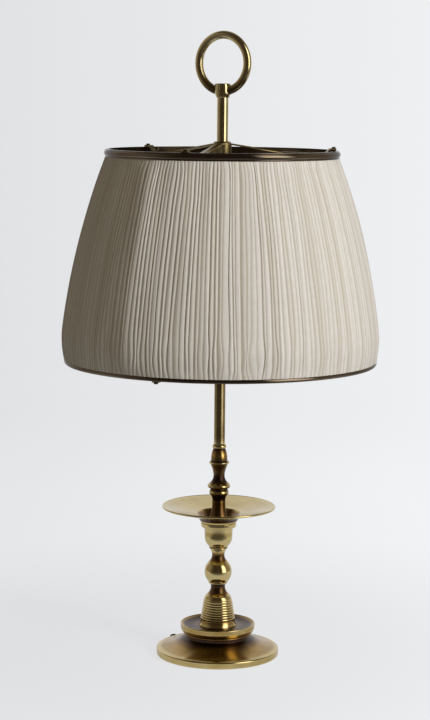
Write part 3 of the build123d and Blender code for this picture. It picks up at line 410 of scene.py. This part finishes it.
ribs = []
for radius, height in zip(rib_radii[1:], rib_heights[1:]):
    ribs.append((radius + 0.35, height - 0.35, 0.38))
    ribs.append((radius, height))
shaft_outline = outline(
    (bore, tray),
    (22.0, tray),
    (22.0, tray + 1.2),
    (20.0, tray + rib_low, -0.44),
    *ribs,
    (13.2, tray + 37.5, 0.8),
    (8.4, ball_low - 5.6, -1.2),
    (11.2, ball_low - 1.2, -0.87),
    (11.2, ball_low),
    (11.0, ball_low + 0.01),
    (10.7, ball_high, 5.25),
    (7.4, ball_high + 6.6, -0.68),
    (9.0, shaft_top - 2.0, -0.61),
    (9.0, shaft_top),
    (bore, shaft_top),
    corner=0.16,
)
# Above the ribs the shaft is a little browner.
shaft_browner = np.where(shaft_outline[:, 1] < rib_heights[-1] + 1, 0.05, 0.12)
turned("ribbed_shaft_turning", "ribbed_shaft", turned_brass, shaft_outline, browner=shaft_browner)

# %% [markdown]
# ## Cup and drip pan
# The cup is a small ring under a round belly. The pan was spun from sheet over a former, so it is thin,
# and its edge is rolled into a bead. Under it sits a stepped boss with a fine groove.

# %% Candle cup
cup = low_of("candle_cup")
cup_top = high_of("candle_cup")
cup_outline = outline(
    (bore, cup),
    (10.8, cup),
    (10.8, cup + 1.1, 0.2),
    (10.3, cup + 1.35),
    (10.8, cup + 1.6),
    (10.8, cup + 2.6, 0.2),
    (16.4, cup + 14.2, 1.5),
    (17.3, cup_top, -0.35),
    (bore, cup_top),
)
turned("candle_cup_turning", "candle_cup", turned_brass, cup_outline, browner=0.10)

# %% Drip pan
pan = low_of("drip_pan")
pan_top = high_of("drip_pan")
pan_radius = rim_of("drip_pan")
bead = 1.1
pan_outline = outline(
    (bore, pan),
    (18.8, pan),
    (20.4, pan + 0.8),
    (20.8, pan + 2.7),
    (20.8, pan + 5.4),
    (20.1, pan + 5.9),
    (21.3, pan + 6.4),
    (26.0, pan + 12.8, -0.55),
    (pan_radius - 2 * bead, pan_top - bead - 1.5),
    (pan_radius - 1.6 * bead, pan_top - 0.15, 1.25),
    (pan_radius - 2.4 * bead, pan_top - 0.55),
    (26.6, pan + 17.2),
    (17.0, pan + 8.6, 0.9),
    (bore, pan + 8.6),
    corner=0.2,
)
# The well is browned, and the boss under the pan is clean.
in_well = np.clip((27.5 - pan_outline[:, 0]) / 4, 0, 1) * (pan_outline[:, 1] > pan + 8.0)
below = pan_outline[:, 1] < pan + 13.0
turned("drip_pan_spinning", "drip_pan", turned_brass, pan_outline, 256, 0.9 * in_well - 0.3 * below)

# %% [markdown]
# ## Stem holder and stem
# The holder stands in the well as a candle would: a trumpet, two beads with a groove between, a long
# cove, a band and an acorn. The stem is a plain drawn tube, which has no rings from a tool.

# %% Stem holder
well = low_of("stem_holder")
holder_top = high_of("stem_holder")
holder_outline = outline(
    (bore, well),
    (13.0, well),
    (13.0, well + 1.0),
    (7.9, well + 22.0, -1.72),
    (10.4, well + 30.6, -1.08),
    (10.4, well + 35.8, 1.2),
    (10.1, well + 36.2),
    (10.1, well + 37.9),
    (12.1, well + 38.6),
    (12.2, well + 43.2, 1.39),
    (6.6, well + 54.4, -1.74),
    (10.7, well + 67.4, -0.72),
    (10.2, well + 70.0, 1.5),
    (9.4, well + 70.5),
    (7.0, well + 85.2, 1.1),
    (6.7, holder_top, 1.35),
    (bore, holder_top),
    corner=0.2,
)
turned("stem_holder_turning", "stem_holder", stem_brass, holder_outline)

# %% Stem tube
stem_low, stem_high = low_of("stem_tube"), high_of("stem_tube")
stem_radius = rim_of("stem_tube")
stem_outline = outline(
    (bore, stem_low), (stem_radius, stem_low), (stem_radius, stem_high), (bore, stem_high), corner=0.3
)
# Below the shade the tube is drawn browner: a painted shadow of the shade and a painted dark reflection.
painted_shade_shadow = np.clip((low_of("bottom_rim") - stem_outline[:, 1]) / 20, 0, 1)
turned("stem_tube_drawn", "stem_tube", drawn_brass, stem_outline, 96, 0.4 * painted_shade_shadow)

# %% [markdown]
# ## Ring handle
# Round bar bent to a ring and set in a saddle on top of the stem. It is a torus whose plane is turned a
# little away from the front. The ring's size is read from the solid: half its height, less the bar.

# %% Ring
ring_turn = np.radians(-31.0)
ring_bar = 4.75
ring_middle = (low_of("handle_ring") + high_of("handle_ring")) / 2
ring_radius = (high_of("handle_ring") - low_of("handle_ring")) / 2 - ring_bar


def ring_surface(around=192, across=40):
    """Torus: a circle of radius R + q cos b in the turned upright plane, q sin b out of that plane."""
    a = np.linspace(0, 2 * np.pi, around, endpoint=False)[:, None]
    b = np.linspace(0, 2 * np.pi, across, endpoint=False)[None, :]
    reach = (ring_radius + ring_bar * np.cos(b)) * np.cos(a)
    height = ring_middle + (ring_radius + ring_bar * np.cos(b)) * np.sin(a)
    out = ring_bar * np.sin(b) + 0 * a
    x = reach * np.cos(ring_turn) + out * np.sin(ring_turn)
    y = reach * np.sin(ring_turn) - out * np.cos(ring_turn)
    return np.stack([x, y, height], -1) * MM


ring_grid = ring_surface()
ring_mesh = surface("handle_ring_bar", ring_grid, wrap_rows=True)
# The ring is drawn browner towards its lowest point.
towards_bottom = np.clip(-(ring_grid[..., 2] / MM - ring_middle) / ring_radius, 0, 1) ** 2
give_value(ring_mesh, "tarnish_and_painted_shade", (0.75 * towards_bottom).ravel())
finished(ring_mesh, "handle_ring_bar", drawn_brass, "handle_ring")


# %% [markdown]
# ## Small fittings
# The ferrule, hub, straps, collar, screws, arms and wires have the right shape in the solid model, but
# its mesh is loose flat triangles. A copy with its doubles merged is shaded smooth, and stays sharp
# where two faces meet at more than a set angle.


# %% Smooth copies of solids
def smooth_copy(node, material, sharp_above=32):
    """Copy of a solid's mesh: points closer than 2 micrometres merged, then shaded smooth by angle."""
    mesh = frame["nodes"][node].data.copy()
    work = bmesh.new()
    work.from_mesh(mesh)
    bmesh.ops.remove_doubles(work, verts=work.verts, dist=2e-6)
    work.to_mesh(mesh)
    work.free()
    mesh.shade_smooth()
    mesh.set_sharp_from_angle(angle=np.radians(sharp_above))
    return finished(mesh, f"{node}_fitting", material, node)


for node in ("ring_ferrule", "ferrule_pin", "clamp_collar", "clamp_screw", "cluster_body",
             "cluster_arm_left", "cluster_arm_right", "lampholder_cap_left", "lampholder_cap_right"):
    smooth_copy(node, drawn_brass)
smooth_copy("shade_spider", strap_brass)

# %% [markdown]
# ## Rims
# Both rims are half-round bronze mouldings rolled from strip and bent to a hoop. They are lacquered
# dark, so their highlights are almost white on a brown ground.

# %% Top and bottom rims
top_low, top_high, top_out = low_of("top_rim"), high_of("top_rim"), rim_of("top_rim")
end_low, end_high, end_out = low_of("bottom_rim"), high_of("bottom_rim"), rim_of("bottom_rim")
top_rim_wall, end_rim_wall = 5.45, 4.45

top_rim_outline = outline(
    (top_out - top_rim_wall, top_low),
    (top_out - 1.6, top_low),
    (top_out - 1.2, top_low + 1.2, 0.1),
    (top_out - 1.5, top_low + 1.7),
    (top_out - 1.4, top_high - 1.2, 1.4),
    (top_out - 1.9, top_high - 0.8),
    (top_out - 2.2, top_high, 0.15),
    (top_out - top_rim_wall, top_high),
)
turned("top_rim_hoop", "top_rim", rim_bronze, top_rim_outline, 320)

end_rim_outline = outline(
    (end_out - end_rim_wall, end_low),
    (end_out - 1.0, end_low),
    (end_out - 1.0, end_high, 1.0),
    (end_out - end_rim_wall, end_high),
)
turned("bottom_rim_hoop", "bottom_rim", rim_bronze, end_rim_outline, 320)

# %% [markdown]
# ## Ivory cloth
# The cover is a thin plain-woven cloth in narrow folds. Cloth scatters light and lets some through, so
# its shader is a rough diffuse one mixed with a translucent one. The weave has about 3 threads in a
# millimetre. That is too fine to show, and is drawn at 0.8 mm as a slight bump. Clouds of tone, about
# 9 mm wide, stand for uneven dye and thread. Bump and clouds follow the cloth's own map, which is in
# metres round the shade and up it.

# %% Cloth material
THREAD = 0.8 * MM
THREAD_RELIEF = 0.12 * MM
SLUB_SIZE = 9 * MM
BAND = 0.32  # about how far apart a wave texture's bands are at a scale of 1


def cloth(name, colour, darker, painted_fold_shade, through, translucent):
    """Plain weave: two crossed waves for the threads, clouds of tone, part diffuse, part translucent.
    The cloth's `valley` value is near 1 deep in a fold, where a darker colour is painted as shade, and it
    also holds each fold's own dust."""
    material, tree = new_material(name)
    flat = add(tree, "UVMap", uv_map="cloth")
    threads = {"Vector": flat, "Scale": BAND / THREAD, "Distortion": 0.6}
    warp = add(tree, "TexWave", bands_direction="X", **threads).outputs["Fac"]
    weft = add(tree, "TexWave", bands_direction="Y", **threads).outputs["Fac"]
    weave = add(tree, "Math", warp, weft, operation="MAXIMUM")
    bump = add(tree, "Bump", Height=weave, Strength=0.25, Distance=THREAD_RELIEF)
    slub = add(tree, "TexNoise", Vector=flat, Scale=1 / SLUB_SIZE, Detail=4.0, Roughness=0.65)
    tone = add(tree, "ValToRGB", slub, stops=[(0.25, darker), (0.75, colour)])
    valley = add(tree, "Attribute", attribute_name="valley").outputs["Fac"]
    shader = add(
        tree,
        "BsdfPrincipled",
        Base_Color=add(tree, "Mix", valley, A=tone, B=linear(painted_fold_shade), data_type="RGBA"),
        Roughness=0.85,
        Sheen_Weight=0.15,
        Specular_IOR_Level=0.25,
        Normal=bump,
    )
    back = add(tree, "BsdfTranslucent", Color=linear(through), Normal=bump)
    add(tree, "OutputMaterial", Surface=add(tree, "MixShader", translucent, shader, back))
    return material


# The third colour is the painted shade deep in the folds.
ivory_cloth = cloth("pleated_ivory_cloth", "#E3E0DC", "#D8D4CE", "#BDB5A6", "#D2C8B0", 0.14)
lining_cloth = cloth("plain_lining_cloth", "#C9C0AE", "#B9AE9A", "#B9AE9A", "#B9A67F", 0.05)


# %% [markdown]
# ## The folds
# The cloth was folded by hand and sewn top and bottom, so no two folds are alike. Each `fold` has its
# own width and depth, and its crest wanders from side to side, most of all just above the lower rim
# where the cloth hangs a little long. A wander is a sum of waves that run round the shade and up it. The
# waves, widths and depths are drawn from a fixed seed, so each run gives the same folds. In front on the
# left a soft ridge runs from rim to rim, where the picture has a sharp edge between light and shade.

# %% Folded cover
cloth_low, cloth_high = low_of("pleated_cover"), high_of("pleated_cover")
cloth_end, cloth_low_radius, cloth_top = 182.2, 183.9, 134.9
cloth_knee = 39.2  # height above the lower edge where the side's two curves meet
fold_count, fold_depth = 208, 2.4
points_per_fold, cloth_rows = 9, 53
ridge_azimuth = np.radians(-90.0 - 35.0)  # 35 degrees to the left of the front
ridge_height, ridge_reach = 2.6, 0.14
chance = np.random.default_rng(7)


def waves(angle, share, count, turns, climbs):
    """Sum of waves cos(m a + 2 pi q v + p) at an angle a and a share v of the way up, scaled to about
    1. Each wave has a whole m of at least 2 and below turns, a q within climbs, and any phase p."""
    total = 0
    for _ in range(count):
        m = chance.integers(2, turns)
        q = chance.uniform(-climbs, climbs)
        total = total + np.cos(m * angle + 2 * np.pi * q * share + chance.uniform(0, 2 * np.pi))
    return total / np.sqrt(count / 2)


def side_line(rows):
    """Radius and height of the fold crests, evenly spaced along the shade's side from low to high."""
    line = outline(
        (cloth_end, cloth_low),
        (cloth_low_radius, cloth_low + cloth_knee, 1.76),
        (cloth_top, cloth_high, 6.2),
        corner=0.01,
        closed=False,
    )
    run = np.concatenate([[0], np.cumsum(np.linalg.norm(np.diff(line, axis=0), axis=1))])
    even = np.linspace(0, run[-1], rows)
    return np.stack([np.interp(even, run, line[:, k]) for k in (0, 1)], 1), even


def folded_cover():
    """Folds round the shade: radius = side + billow - depth * |2 s ** lean - 1| ** 2, where s runs from
    0 to 1 across a fold, the lean pushes its crest to one side, and a slope sets one edge back. A
    column's angle is its fold's own, moved sideways by the waves. The ridge is a part of the billow,
    height * (exp(-|angle from it| / reach) - 0.2). Near the rims, where the cloth is sewn, waves and
    ridge die out and the folds are pressed flatter."""
    line, run = side_line(cloth_rows)
    share = (run / run[-1])[:, None]
    widths = np.clip(1 + 0.20 * chance.standard_normal(fold_count), 0.5, 1.6)
    edges = np.concatenate([[0], np.cumsum(widths)]) / widths.sum()
    place = np.arange(fold_count * points_per_fold) / points_per_fold
    fold = np.floor(place).astype(int)
    angle = 2 * np.pi * np.interp(place, np.arange(fold_count + 1), edges)
    inside = place % 1.0
    lean = chance.uniform(0.7, 1.5, fold_count)[fold]
    valley = np.abs(2 * inside**lean - 1) ** 2.0

    depth = fold_depth * np.clip(0.37 + 0.15 * chance.standard_normal(fold_count), 0.12, 0.9)[fold]
    slope = 0.25 * fold_depth * chance.uniform(-0.5, 0.5, fold_count)[fold]
    from_rims = np.minimum(share, 1 - share)
    pressed = np.clip(from_rims / 0.03, 0.45, 1.0)
    held = np.clip(from_rims / 0.04, 0, 1)
    near_end = np.exp(-(((share - 0.10) / 0.08) ** 2))
    near_top = np.exp(-(((share - 0.86) / 0.10) ** 2))
    sideways = 0.75 * waves(angle, share, count=14, turns=40, climbs=0.9)
    sideways += near_end * waves(angle, share, count=16, turns=90, climbs=3.0)
    sideways += 0.5 * near_top * waves(angle, share, count=12, turns=50, climbs=2.0)
    sideways += 0.24 * waves(angle, share, count=12, turns=150, climbs=2.5)
    billow = 0.35 * waves(angle, share, count=12, turns=24, climbs=1.5) * held
    from_ridge = np.abs((angle - ridge_azimuth + np.pi) % (2 * np.pi) - np.pi)
    billow = billow + ridge_height * held * (np.exp(-from_ridge / ridge_reach) - 0.2)

    radius = line[:, :1] + billow - pressed * (depth * valley + slope * (inside - 0.5))
    turn = angle + held * sideways / line[:, :1]
    height = line[:, 1:] + 0 * turn
    grid = np.stack([radius * np.cos(turn), radius * np.sin(turn), height], -1) * MM
    half_way = grid[cloth_rows // 2]
    across = np.linalg.norm(np.diff(half_way, axis=0, append=half_way[:1]), axis=1)
    # Deep in each fold a darker colour is painted as shade, and each fold adds its own random dust.
    dust = np.clip(chance.uniform(-0.25, 0.45, fold_count), 0, 1)[fold]
    return grid, run * MM, across, np.clip(0.75 * valley**1.5 + dust, 0, 1) + 0 * height


def give_map(mesh, across, along):
    """The cloth's own map in metres: u runs round the cloth and v up it. The last column's faces end at
    the cloth's full width, so that no thread runs back across them."""
    start = np.concatenate([[0], np.cumsum(across)])
    i, j = np.meshgrid(np.arange(len(along) - 1), np.arange(len(across)), indexing="ij")
    u = np.stack([start[j], start[j + 1], start[j + 1], start[j]], -1)
    v = np.stack([along[i], along[i], along[i + 1], along[i + 1]], -1)
    layer = mesh.uv_layers.new(name="cloth")
    layer.data.foreach_set("uv", np.stack([u, v], -1).astype(np.float32).ravel())


cover_grid, cover_run, cover_across, cover_fold_shade_and_dust = folded_cover()
cover_mesh = surface("folded_cover", cover_grid)
give_map(cover_mesh, cover_across, cover_run)
give_value(cover_mesh, "valley", cover_fold_shade_and_dust.ravel())
cover = finished(cover_mesh, "folded_cover", ivory_cloth, "pleated_cover")

# %% [markdown]
# ## Lining
# Behind the folds a smooth lining is stretched from rim to rim. It is a closed shell: the side's curve
# moved inwards, and again by the cloth's thickness.

# %% Lining
lining_inset, lining_wall = 3.3, 0.8
lining_rows, lining_segments = 48, 256
lining_side = side_line(lining_rows)[0]
outer = lining_side - [lining_inset, 0]
inner = lining_side[::-1] - [lining_inset + lining_wall, 0]
lining_points = np.vstack([outer, inner])
lining_mesh = surface("stretched_lining", spun(lining_points, lining_segments), wrap_rows=True)
# The lining's map is as wide all the way up, and goes by height.
lining_across = np.full(lining_segments, 2 * np.pi * cloth_low_radius * MM / lining_segments)
give_map(lining_mesh, lining_across, np.append(lining_points[:, 1], lining_points[0, 1]) * MM)
lining = finished(lining_mesh, "stretched_lining", lining_cloth, "lining")


# %% [markdown]
# ## Plainer finishes
# Felt, cast iron, zinc plating, rubber, blackened screws, wire, moulded plastic, porcelain and nickel:
# each has its own colour, gloss and grain, but they share one recipe of a noise that varies the tone,
# the roughness and a little bump.


# %% Plain materials
def plain(name, colour, darker, rough, grain, relief, metal=0.0):
    """A finish with a grain and a relief in millimetres: tone, roughness and a bump of that size."""
    material, tree = new_material(name)
    place = add(tree, "TexCoord").outputs["Object"]
    noise = add(tree, "TexNoise", Vector=place, Scale=1 / (grain * MM), Detail=5.0, Roughness=0.6)
    shader = add(
        tree,
        "BsdfPrincipled",
        Base_Color=add(tree, "ValToRGB", noise, stops=[(0.3, darker), (0.7, colour)]),
        Metallic=metal,
        Roughness=add(tree, "MapRange", noise, To_Min=rough - 0.06, To_Max=rough + 0.08),
        Normal=add(tree, "Bump", Height=noise, Strength=0.3, Distance=relief * MM),
    )
    add(tree, "OutputMaterial", Surface=shader)
    return material


felt = plain("pressed_wool_felt", "#2F4A37", "#1F3526", 0.92, grain=0.6, relief=0.3)
iron = plain("cast_iron", "#4A4947", "#333230", 0.7, metal=0.9, grain=1.2, relief=0.3)
zinc = plain("zinc_plated_steel", "#B9B9B4", "#9C9C97", 0.32, metal=1.0, grain=3.0, relief=0.02)
rubber = plain("moulded_rubber", "#1B1B1C", "#121213", 0.55, grain=0.8, relief=0.05)
blackened = plain("blackened_screw_steel", "#231F1B", "#15120F", 0.35, metal=1.0, grain=0.8, relief=0.03)
wire = plain("brassed_steel_wire", "#8C7A58", "#6C5C40", 0.38, metal=1.0, grain=2.0, relief=0.03)
phenolic = plain("moulded_phenolic_plastic", "#16130F", "#0E0C0A", 0.25, grain=4.0, relief=0.01)
porcelain = plain("fired_porcelain", "#E9E6DC", "#DAD6CA", 0.4, grain=2.0, relief=0.03)
nickel = plain("nickel_plated_brass", "#C9C6BD", "#AFABA0", 0.25, metal=1.0, grain=2.0, relief=0.02)

for node in ("arm_screws", "strut_screws", "cluster_screw"):
    smooth_copy(node, blackened)
for node in ("shade_strut_right", "shade_strut_back", "shade_strut_front"):
    smooth_copy(node, wire)
for side in ("left", "right"):
    smooth_copy(f"lampholder_shell_{side}", phenolic)
    smooth_copy(f"lampholder_contact_{side}", porcelain)
    smooth_copy(f"bulb_cap_{side}", nickel)
smooth_copy("cord_gland", rubber)
smooth_copy("ballast_disc", iron)
for node in ("foot_nut", "foot_washer", "tie_tube"):
    smooth_copy(node, zinc)
felt_pad = smooth_copy("base_felt", felt)


# %% [markdown]
# ## Bulbs
# Two clear candle bulbs, hidden by the shade in most views. The glass is a thin shell with an inner and
# an outer skin, so that light bends as it does in a real envelope.

# %% Bulbs
def glass(name):
    """Clear lamp glass: full transmission, almost no roughness."""
    material, tree = new_material(name)
    shader = add(
        tree,
        "BsdfPrincipled",
        Base_Color=linear("#F7F7F2"),
        Transmission_Weight=1.0,
        Roughness=0.02,
        IOR=1.5,
    )
    add(tree, "OutputMaterial", Surface=shader)
    return material


lamp_glass = glass("blown_lamp_glass")
glass_radius, glass_neck, glass_wall = 17.5, 6.0, 0.9
neck_length, belly_rise = 4.0, 30.0


def glass_outline(low, high):
    """Outer skin of the bulb from its neck up to its tip, and back down by the inner skin."""
    neck, belly = low + neck_length, low + belly_rise
    return outline(
        (glass_neck, low),
        (glass_neck, neck),
        (glass_radius, belly, 3.4),
        (2.4, high - 1.0, 2.7),
        (0.05, high, 0.3),
        (0.05, high - glass_wall),
        (1.6, high - 1.9, -0.2),
        (glass_radius - glass_wall, belly, -2.7),
        (glass_neck - glass_wall, neck, -3.4),
        (glass_neck - glass_wall, low),
        corner=0.2,
    )


for side in ("left", "right"):
    node = f"bulb_glass_{side}"
    middle = (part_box(node)[0].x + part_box(node)[1].x) / 2
    points = glass_outline(low_of(node), high_of(node))
    glass_grid = spun(points, 64) + [middle, 0, 0]
    glass_mesh = surface(f"bulb_envelope_{side}", glass_grid, wrap_rows=True)
    finished(glass_mesh, f"bulb_envelope_{side}", lamp_glass, node)


# %% [markdown]
# ## Studio
# The lamp stands on a pale sweep in a dark studio. One large softbox stands to the right and in front,
# which leaves the shade's left quarter in shadow. Polished brass shows the room: walls left and right, a
# paler one behind, the softbox as a bright stripe, and the dark space round the camera in the middle.

# %% World
KEY_AZIMUTH = 47.0  # degrees to the right of the front
GLOW_AZIMUTH = 54.0  # where mirrors see the middle of the bright window
KEY_GLOW = 2.7  # how bright that window looks in a mirror
GLOW_LEVEL = 0.25  # sine of its middle's height
BACKDROP = (0.99, 1.0, 1.02, 1.0)  # a little bluer than neutral, at a strength just under white
SMOOTH = {"interpolation_type": "SMOOTHSTEP"}


def studio_world():
    """World light. Matt surfaces get a dim fill, a little more from the front. Mirrors see walls at the
    sides and a paler one behind, which fade from 32 to 54 degrees up, a bright window, and darkness in
    front and overhead. The camera sees the pale backdrop alone, which is darker on the left."""
    world = bpy.data.worlds.new("studio")
    bpy.context.scene.world = world
    world.use_nodes = True
    tree = world.node_tree
    tree.nodes.clear()
    x, y, z = add(tree, "SeparateXYZ", add(tree, "TexCoord").outputs["Generated"]).outputs
    front = add(tree, "Math", y, -1.0, operation="MULTIPLY")
    angle = add(tree, "Math", x, front, operation="ARCTAN2")
    aside = add(tree, "Math", angle, operation="ABSOLUTE")
    behind = add(tree, "MapRange", aside, *np.radians([114, 146]), **SMOOTH)
    beside = add(tree, "MapRange", aside, *np.radians([38, 96]), **SMOOTH)
    low = add(tree, "MapRange", z, *np.sin(np.radians([32, 54])), 1.0, 0.12, **SMOOTH)
    back_share = add(tree, "Math", behind, low, operation="MULTIPLY")
    side_share = add(tree, "Math", beside, low, operation="MULTIPLY")
    walls = add(tree, "Mix", side_share, A=linear("#453B32"), B=linear("#9C9184"), data_type="RGBA")
    room = add(tree, "Mix", back_share, A=walls, B=linear("#E2E2E6"), data_type="RGBA")
    around = add(tree, "Background", room, 1.0)

    from_glow = add(tree, "Math", angle, np.radians(GLOW_AZIMUTH), operation="SUBTRACT")
    off_side = add(tree, "Math", from_glow, operation="ABSOLUTE")
    glow_width = add(tree, "MapRange", off_side, *np.radians([7, 23]), 1.0, 0.0, **SMOOTH)
    from_level = add(tree, "Math", z, GLOW_LEVEL, operation="SUBTRACT")
    off_level = add(tree, "Math", from_level, operation="ABSOLUTE")
    glow_height = add(tree, "MapRange", off_level, 0.35, 0.6, 1.0, 0.0, **SMOOTH)
    glow_shape = add(tree, "Math", glow_width, glow_height, operation="MULTIPLY")
    glow = add(tree, "Math", glow_shape, KEY_GLOW, operation="MULTIPLY")
    window = add(tree, "Background", linear("#FFFCF4"), glow)

    seen_by = add(tree, "LightPath").outputs
    glossy, through = seen_by["Is Glossy Ray"], seen_by["Is Transmission Ray"]
    in_mirror = add(tree, "Math", glossy, through, operation="MAXIMUM")
    fill_level = add(tree, "MapRange", front, 0.0, 1.0, 0.19, 0.36, **SMOOTH)
    fill = add(tree, "Background", linear("#DCCBA8"), fill_level)
    shown = add(tree, "MixShader", in_mirror, fill, add(tree, "AddShader", around, window))
    backdrop = add(tree, "Background", BACKDROP, add(tree, "MapRange", x, -0.12, 0.12, 0.755, 0.878))
    final = add(tree, "MixShader", seen_by["Is Camera Ray"], shown, backdrop)
    add(tree, "OutputWorld", Surface=final)


studio_world()

# %% Floor
FLOOR_REACH = 2.0  # metres from the lamp's axis


def floor_material():
    """Pale paper: near the lamp partly matt, so that it takes a faint shadow, and else as bright as the
    backdrop, into which it fades. Its light hardly reaches matt surfaces, and in mirrors its front is
    dark."""
    material, tree = new_material("pale_paper_sweep")
    place = add(tree, "TexCoord").outputs["Object"]
    away = add(tree, "VectorMath", place, operation="LENGTH")
    x, y, _ = add(tree, "SeparateXYZ", place).outputs
    seen_by = add(tree, "LightPath").outputs
    in_front = add(tree, "MapRange", y, -0.42, -0.12, 0.86, 0.2, **SMOOTH)
    in_mirror = add(tree, "Math", in_front, seen_by["Is Glossy Ray"], operation="MULTIPLY")
    in_matt = add(tree, "Math", seen_by["Is Diffuse Ray"], 0.85, operation="MULTIPLY")
    lost = add(tree, "Math", in_mirror, in_matt, operation="MAXIMUM")
    kept = add(tree, "Math", 1.0, lost, operation="SUBTRACT")
    level = add(tree, "MapRange", x, -0.32, 0.32, 0.800, 0.890)
    strength = add(tree, "Math", level, kept, operation="MULTIPLY")
    glow = add(tree, "Emission", BACKDROP, strength)
    matt = add(
        tree,
        "BsdfPrincipled",
        Base_Color=linear("#E4E4E6"),
        Roughness=0.9,
        Specular_IOR_Level=0.1,
    )
    glow_share = add(tree, "MapRange", away, 0.12, 0.7, 0.85, 1.0, **SMOOTH)
    paper = add(tree, "MixShader", glow_share, matt, glow)
    fading = add(tree, "MapRange", away, 0.9, 1.9, **SMOOTH)
    faded = add(tree, "MixShader", fading, paper, add(tree, "BsdfTransparent"))
    add(tree, "OutputMaterial", Surface=faded)
    return material


floor_corners = np.array([[-1, -1, 0], [1, -1, 0], [1, 1, 0], [-1, 1, 0]]) * FLOOR_REACH
floor_mesh = mesh_from("paper_sweep", floor_corners, np.array([[0, 1, 2, 3]]))
floor_mesh.materials.append(floor_material())
floor = bpy.data.objects.new("paper_sweep", floor_mesh)
bpy.context.scene.collection.objects.link(floor)


# %% Lamps
def softbox(name, azimuth, elevation, distance, size, watts, aim=0.38):
    """A rectangular lamp at an azimuth to the right of the front, facing the middle of the object.
    Mirrors don't see it, because the world shows them a softer picture of it."""
    a, e = np.radians(azimuth), np.radians(elevation)
    light = bpy.data.lights.new(name, "AREA")
    light.shape = "RECTANGLE"
    light.size, light.size_y = size
    light.energy = watts
    lamp = bpy.data.objects.new(name, light)
    bpy.context.scene.collection.objects.link(lamp)
    out = np.array([np.sin(a) * np.cos(e), -np.cos(a) * np.cos(e), np.sin(e)])
    lamp.rotation_euler = (np.pi / 2 - e, 0, a)
    lamp.location = out * distance + [0, 0, aim]
    lamp.visible_glossy = False


softbox("key_softbox", KEY_AZIMUTH, elevation=20, distance=2.2, size=(0.45, 1.1), watts=44)

# %% [markdown]
# ## Camera
# The photograph was taken with a long lens from a little above the shade, looking down by seven and a
# half degrees. The place and the lens were worked out from the ellipses of the rims and the foot.

# %% Camera
camera_away, camera_height, camera_side = 2.3733, 0.6664, -0.0061  # metres from the foot's middle
camera_pitch, camera_roll = np.radians(7.55), np.radians(0.55)
focal_pixels, picture_height, sensor = 2050, 720, 36.0

camera_data = bpy.data.cameras.new("camera")
camera_data.sensor_width = sensor
camera_data.lens = focal_pixels / picture_height * sensor
camera = bpy.data.objects.new("camera", camera_data)
bpy.context.scene.collection.objects.link(camera)
camera.matrix_world = (
    Matrix.Translation((camera_side, -camera_away, camera_height))
    @ Matrix.Rotation(np.pi / 2 - camera_pitch, 4, "X")
    @ Matrix.Rotation(camera_roll, 4, "Z")
)
bpy.context.scene.camera = camera
bpy.context.scene.view_settings.view_transform = "Standard"
